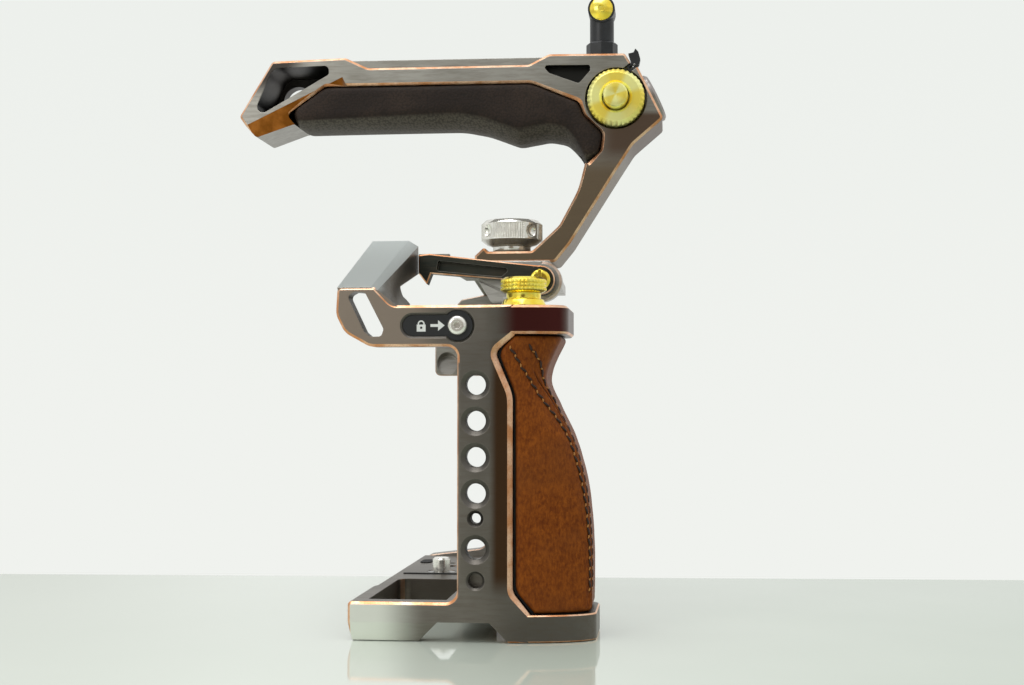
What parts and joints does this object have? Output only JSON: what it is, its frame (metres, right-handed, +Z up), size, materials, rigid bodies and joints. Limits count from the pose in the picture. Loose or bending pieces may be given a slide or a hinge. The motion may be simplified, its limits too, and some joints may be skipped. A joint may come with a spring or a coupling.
{
  "type": "camera cage",
  "caption": "Camera cage with a stitched leather hand grip, a hinged arm over the camera, and a clamped top handle with a knob, push button and post.",
  "frame": {"origin": "centre of the tripod thread's mouth in the underside of the base", "axes": "+Z up; +X from the grip side to the other side; +Y towards the back of the camera"},
  "size_m": [0.1371, 0.1489, 0.2123],
  "materials": {
    "frame_metal": "satin bronze-grey anodised, bare copper-coloured worn edges",
    "handle_metal": "satin grey-brown anodised, bare copper-coloured worn edges",
    "gold_finish": "polished gold-coloured anodised",
    "bright_steel": "polished and knurled",
    "fastener_steel": "plain machined",
    "black_finish": "satin black",
    "pad_rubber": "matt black",
    "grip_core": "plain",
    "brown_leather": "smooth waxed, tan stitching",
    "soft_wrap": "fine grained, dark maroon-brown"
  },
  "bodies": {
    "cage": {"base_plate": "frame_metal", "camera_pads": "pad_rubber", "screw_clip": "fastener_steel", "base_screws": "fastener_steel", "side_frame": "frame_metal", "lock_label": "black_finish", "grip_core": "grip_core", "grip_leather": "brown_leather", "grip_screws": "fastener_steel", "port_side_plate": "frame_metal", "top_plate": "frame_metal", "top_screws": "fastener_steel", "arm_pivot_screw": "gold_finish", "arm_pivot_nut": "fastener_steel", "arm_washer": "fastener_steel", "handle_frame": "handle_metal", "handle_grip": "soft_wrap", "locating_pins": "fastener_steel", "head_cover": "handle_metal", "catch_pin": "fastener_steel", "head_boss": "handle_metal", "post_base": "black_finish"},
    "swing_arm": {"swing_arm": "frame_metal", "arm_leaf": "black_finish"},
    "camera_screw": {"camera_screw": "bright_steel"},
    "lock_screw": {"lock_screw": "fastener_steel"},
    "thumb_screw": {"grip_thumb_screw": "gold_finish"},
    "clamp_knob": {"handle_knob": "bright_steel", "handle_screw": "bright_steel"},
    "side_knob": {"side_knob": "gold_finish", "knob_shaft": "fastener_steel", "knob_retainer": "fastener_steel", "button_spring": "fastener_steel"},
    "push_button": {"knob_button": "gold_finish"},
    "catch": {"catch_lever": "black_finish"},
    "post": {"post": "black_finish", "post_nut": "fastener_steel"},
    "post_screw": {"post_cap_screw": "gold_finish"}
  },
  "joints": [
    {"name": "arm_swing", "type": "hinge", "parent": "cage", "child": "swing_arm", "pos_m": [-0.0376, -0.0369, 0.1114], "axis": [1, 0, 0], "range_deg": [0, 100]},
    {"name": "camera_screw_turn", "type": "hinge", "parent": "cage", "child": "camera_screw", "pos_m": [-0.016, 0, 0], "axis": [0, 0, 1], "continuous": true},
    {"name": "lock_screw_turn", "type": "hinge", "parent": "cage", "child": "lock_screw", "pos_m": [-0.094, -0.017, 0.0936], "axis": [1, 0, 0], "continuous": true},
    {"name": "thumb_screw_turn", "type": "hinge", "parent": "cage", "child": "thumb_screw", "pos_m": [-0.078, -0.0352, 0.0996], "axis": [0, 0, 1], "continuous": true},
    {"name": "clamp_knob_turn", "type": "hinge", "parent": "cage", "child": "clamp_knob", "pos_m": [-0.016, -0.0248, 0.1235], "axis": [0, 0, 1], "continuous": true},
    {"name": "side_knob_turn", "type": "hinge", "parent": "cage", "child": "side_knob", "pos_m": [-0.0285, -0.0619, 0.1744], "axis": [1, 0, 0], "continuous": true},
    {"name": "button_press", "type": "slide", "parent": "side_knob", "child": "push_button", "axis": [1, 0, 0], "range_m": [0, 0.002], "stiffness_N_per_m": 500, "springref_m": -0.001},
    {"name": "catch_slide", "type": "slide", "parent": "cage", "child": "catch", "axis": [0, -0.8, 0.6], "range_m": [0, 0.0015]},
    {"name": "post_turn", "type": "hinge", "parent": "cage", "child": "post", "pos_m": [-0.016, -0.0566, 0.1896], "axis": [0, 0, 1], "continuous": true},
    {"name": "post_screw_turn", "type": "hinge", "parent": "post", "child": "post_screw", "pos_m": [-0.016, -0.0566, 0.2076], "axis": [1, 0, 0], "continuous": true}
  ]
}
